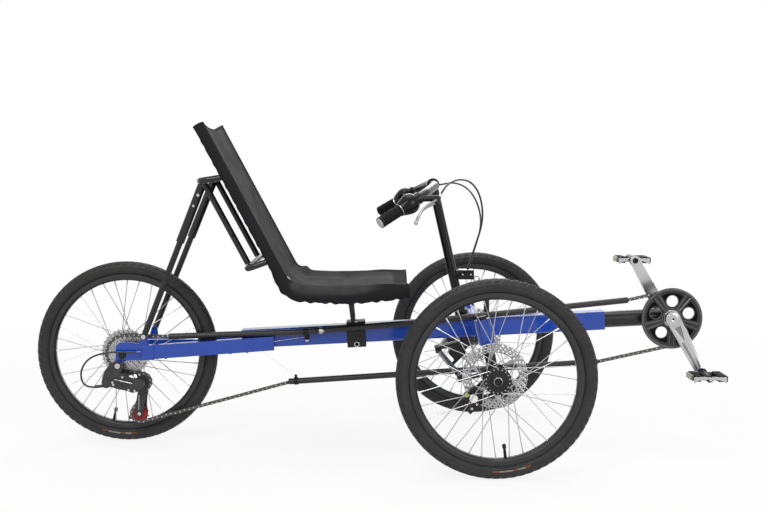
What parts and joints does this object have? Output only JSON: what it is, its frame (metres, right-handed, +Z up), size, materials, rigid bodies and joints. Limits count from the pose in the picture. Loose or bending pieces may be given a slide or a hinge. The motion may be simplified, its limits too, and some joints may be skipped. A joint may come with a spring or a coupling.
{
  "type": "recumbent trike",
  "caption": "Low three-wheeled cycle with a reclined mesh seat, two steered front wheels, a chain-driven rear wheel and a crankset on a forward boom.",
  "frame": {"origin": "middle of the machine's box on the ground, under the seat", "axes": "+X forward along the main tube, +Y to the rider's left, +Z up"},
  "size_m": [1.822, 0.839, 0.8522],
  "materials": {
    "frame_blue": "gloss",
    "black_tube": "satin",
    "black_alloy": "satin",
    "seat_mesh": "woven",
    "tyre_rubber": "matt",
    "rim_black": "satin",
    "hub_black": "satin",
    "spoke_steel": "polished",
    "bare_steel": "satin",
    "chain_steel": "oiled",
    "silver_alloy": "satin",
    "guard_plastic": "gloss",
    "pedal_plastic": "matt",
    "grip_rubber": "matt",
    "control_plastic": "matt",
    "chain_tube_plastic": "matt",
    "cable_housing": "gloss"
  },
  "bodies": {
    "frame": {"main_tube": "frame_blue", "head_tube": "frame_blue", "right_outrigger": "frame_blue", "left_outrigger": "frame_blue", "boom": "black_tube", "bottom_bracket": "frame_blue", "right_chainstay": "frame_blue", "left_chainstay": "frame_blue", "right_dropout": "frame_blue", "left_dropout": "frame_blue", "rear_axle": "bare_steel", "right_seat_rail": "black_tube", "left_seat_rail": "black_tube", "seat_crossbars": "black_tube", "seat_back": "seat_mesh", "seat_base": "seat_mesh", "seat_hoops": "black_tube", "seat_struts": "black_tube", "seat_stays": "black_tube", "seat_clamp": "black_alloy", "seat_post": "black_tube", "chain_tubes": "chain_tube_plastic", "chain": "chain_steel", "derailleur": "black_alloy", "derailleur_cage": "bare_steel", "accessory_post": "black_tube", "shift_cable": "cable_housing"},
    "rear_wheel": {"rear_tyre": "tyre_rubber", "rear_rim": "rim_black", "rear_spokes": "spoke_steel", "rear_hub": "hub_black", "cassette": "bare_steel"},
    "right_wheel": {"right_front_tyre": "tyre_rubber", "right_front_rim": "rim_black", "right_front_spokes": "spoke_steel", "right_front_hub": "hub_black", "right_brake_rotor": "bare_steel"},
    "left_wheel": {"left_front_tyre": "tyre_rubber", "left_front_rim": "rim_black", "left_front_spokes": "spoke_steel", "left_front_hub": "hub_black", "left_brake_rotor": "bare_steel"},
    "right_knuckle": {"right_knuckle": "black_tube", "right_caliper": "black_alloy"},
    "left_knuckle": {"left_knuckle": "black_tube", "left_caliper": "black_alloy"},
    "steering": {"steering_column": "black_tube", "pitman_arm": "black_tube", "handlebar": "black_tube", "handgrips": "grip_rubber", "twist_shifters": "control_plastic", "brake_levers": "control_plastic", "control_cables": "cable_housing"},
    "right_tie_rod": {"right_tie_rod": "silver_alloy"},
    "left_tie_rod": {"left_tie_rod": "silver_alloy"},
    "crank": {"crankset": "silver_alloy", "chainring": "guard_plastic"},
    "right_pedal": {"right_pedal": "pedal_plastic"},
    "left_pedal": {"left_pedal": "pedal_plastic"}
  },
  "joints": [
    {"name": "steering_turn", "type": "hinge", "parent": "frame", "child": "steering", "pos_m": [0.238, 0, 0.31491], "axis": [-0.2284, 0, 0.9736], "range_deg": [-30, 30]},
    {"name": "right_kingpin", "type": "hinge", "parent": "frame", "child": "right_knuckle", "pos_m": [0.29, -0.3, 0.243], "axis": [-0.2284, 0, 0.9736], "range_deg": [-30, 30]},
    {"name": "right_tie_rod_pin", "type": "hinge", "parent": "steering", "child": "right_tie_rod", "pos_m": [0.16696, -0.014, 0.2587], "axis": [-0.2284, 0, 0.9736], "range_deg": [-30, 30]},
    {"name": "right_wheel_spin", "type": "hinge", "parent": "right_knuckle", "child": "right_wheel", "pos_m": [0.29, -0.38, 0.243], "axis": [0, 1, 0], "continuous": true},
    {"name": "left_kingpin", "type": "hinge", "parent": "frame", "child": "left_knuckle", "pos_m": [0.29, 0.3, 0.243], "axis": [-0.2284, 0, 0.9736], "range_deg": [-30, 30]},
    {"name": "left_tie_rod_pin", "type": "hinge", "parent": "steering", "child": "left_tie_rod", "pos_m": [0.16696, 0.014, 0.2587], "axis": [-0.2284, 0, 0.9736], "range_deg": [-30, 30]},
    {"name": "left_wheel_spin", "type": "hinge", "parent": "left_knuckle", "child": "left_wheel", "pos_m": [0.29, 0.38, 0.243], "axis": [0, 1, 0], "continuous": true},
    {"name": "rear_wheel_spin", "type": "hinge", "parent": "frame", "child": "rear_wheel", "pos_m": [-0.668, 0, 0.243], "axis": [0, 1, 0], "continuous": true},
    {"name": "crank_spin", "type": "hinge", "parent": "frame", "child": "crank", "pos_m": [0.785, 0, 0.34741], "axis": [0, 1, 0], "continuous": true},
    {"name": "right_pedal_spin", "type": "hinge", "parent": "crank", "child": "right_pedal", "pos_m": [0.865, -0.057, 0.2031], "axis": [0, 1, 0], "continuous": true},
    {"name": "left_pedal_spin", "type": "hinge", "parent": "crank", "child": "left_pedal", "pos_m": [0.70501, 0.057, 0.49172], "axis": [0, 1, 0], "continuous": true}
  ],
  "couplings": [
    {"joint": "right_kingpin", "follows": "steering_turn", "ratio": 1},
    {"joint": "left_kingpin", "follows": "steering_turn", "ratio": 1},
    {"joint": "right_tie_rod_pin", "follows": "steering_turn", "ratio": -1},
    {"joint": "left_tie_rod_pin", "follows": "steering_turn", "ratio": -1}
  ]
}
